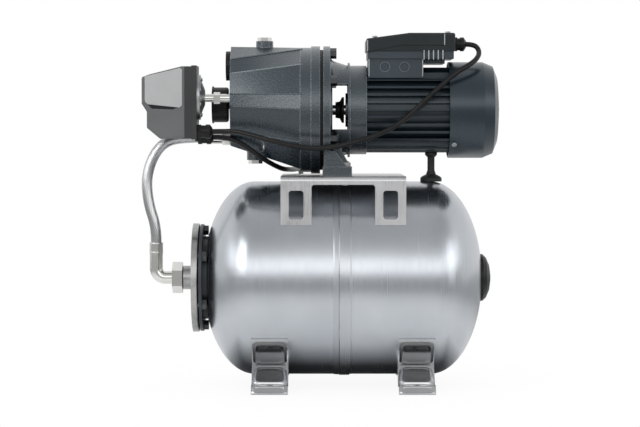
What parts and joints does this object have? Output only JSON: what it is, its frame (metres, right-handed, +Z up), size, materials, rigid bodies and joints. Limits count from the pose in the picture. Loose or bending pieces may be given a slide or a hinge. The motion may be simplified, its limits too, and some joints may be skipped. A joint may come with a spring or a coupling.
{
  "type": "booster pump set",
  "caption": "Jet pump and motor on a bracket over a horizontal stainless pressure tank, with pressure switch, gauge, braided hose and mains lead.",
  "frame": {"origin": "on the floor, at the middle of the four foot holes, under the tank's axis", "axes": "+X runs along the tank towards the motor, +Y away from the front, +Z up"},
  "size_m": [0.5003, 0.382, 0.493],
  "materials": {
    "stainless": "polished deep drawn stainless",
    "bracket_steel": "satin stainless sheet",
    "zinc": "zinc plated steel",
    "black_steel": "black painted steel",
    "casting": "dark blue-grey paint on cast iron",
    "frame_paint": "dark painted die-cast aluminium",
    "cover_paint": "dark semi-gloss paint on sheet",
    "black_plastic": "moulded black plastic",
    "box_plastic": "moulded dark grey plastic",
    "switch_plastic": "moulded grey plastic",
    "brass": "machined brass",
    "nickel": "nickel plated",
    "rubber": "moulded rubber",
    "cord_jacket": "rubber jacket",
    "braid": "stainless wire braid",
    "bare_steel": "machined steel",
    "copper": "enamelled copper",
    "lens": "clear lens",
    "needle": "black needle",
    "white_plastic": "light moulded plastic"
  },
  "bodies": {
    "chassis": {"tank_shell_left": "stainless", "tank_shell_right": "stainless", "tank_neck": "black_steel", "bladder": "rubber", "counter_flange": "zinc", "flange_bolts": "zinc", "air_valve": "brass", "air_valve_cap": "black_plastic", "foot_left": "stainless", "foot_right": "stainless", "pump_bracket": "bracket_steel", "support_foot": "rubber", "pump_casing": "casting", "casing_gasket": "rubber", "suction_ring": "black_plastic", "casing_plugs": "nickel", "ejector": "white_plastic", "diffuser": "white_plastic", "bearings": "bare_steel", "seal_seat": "white_plastic", "stator_core": "bare_steel", "windings": "copper", "lantern": "casting", "casing_bolts": "zinc", "foot_bolts": "zinc", "motor_frame": "frame_paint", "rear_shield": "frame_paint", "tie_rods": "zinc", "fan_cover": "cover_paint", "small_screws": "zinc", "terminal_box": "box_plastic", "terminal_lid": "box_plastic", "capacitor": "white_plastic", "cable_glands": "black_plastic", "switch_cover": "switch_plastic", "switch_base": "black_plastic", "diaphragm_housing": "zinc", "range_spring": "bare_steel", "contact_block": "white_plastic", "nipple": "nickel", "gauge_case": "black_plastic", "gauge_lens": "lens", "braided_hose": "braid", "hose_union": "nickel", "hose_elbow": "nickel", "union_nut": "nickel", "motor_lead": "cord_jacket", "mains_cord": "cord_jacket", "mains_coil": "cord_jacket", "mains_plug": "black_plastic"},
    "rotor": {"impeller": "bare_steel", "rotor_shaft": "bare_steel", "rotor_core": "bare_steel", "seal_head": "rubber", "slinger": "rubber", "cooling_fan": "black_plastic"},
    "needle": {"gauge_needle": "needle"},
    "plunger": {"switch_plunger": "brass"},
    "lever": {"contact_lever": "zinc"},
    "valve_pin": {"air_valve_pin": "brass"}
  },
  "joints": [
    {"name": "rotor_spin", "type": "hinge", "parent": "chassis", "child": "rotor", "pos_m": [0, 0, 0.385], "axis": [1, 0, 0], "continuous": true},
    {"name": "needle_turn", "type": "hinge", "parent": "chassis", "child": "needle", "pos_m": [-0.179, 0.014, 0.3924], "axis": [1, 0, 0], "range_deg": [-135, 135], "stiffness_Nm_per_rad": 0.001},
    {"name": "plunger_press", "type": "slide", "parent": "chassis", "child": "plunger", "axis": [-1, 0, 0], "range_m": [0, 0.002], "stiffness_N_per_m": 2000},
    {"name": "lever_tip", "type": "hinge", "parent": "chassis", "child": "lever", "pos_m": [-0.225, -0.05, 0.372], "axis": [0, -1, 0], "range_deg": [0, 3.9]},
    {"name": "valve_pin_press", "type": "slide", "parent": "chassis", "child": "valve_pin", "axis": [-1, 0, 0], "range_m": [0, 0.0012], "stiffness_N_per_m": 300}
  ],
  "couplings": [
    {"joint": "lever_tip", "follows": "plunger_press", "rad_per_m": 33.333}
  ]
}
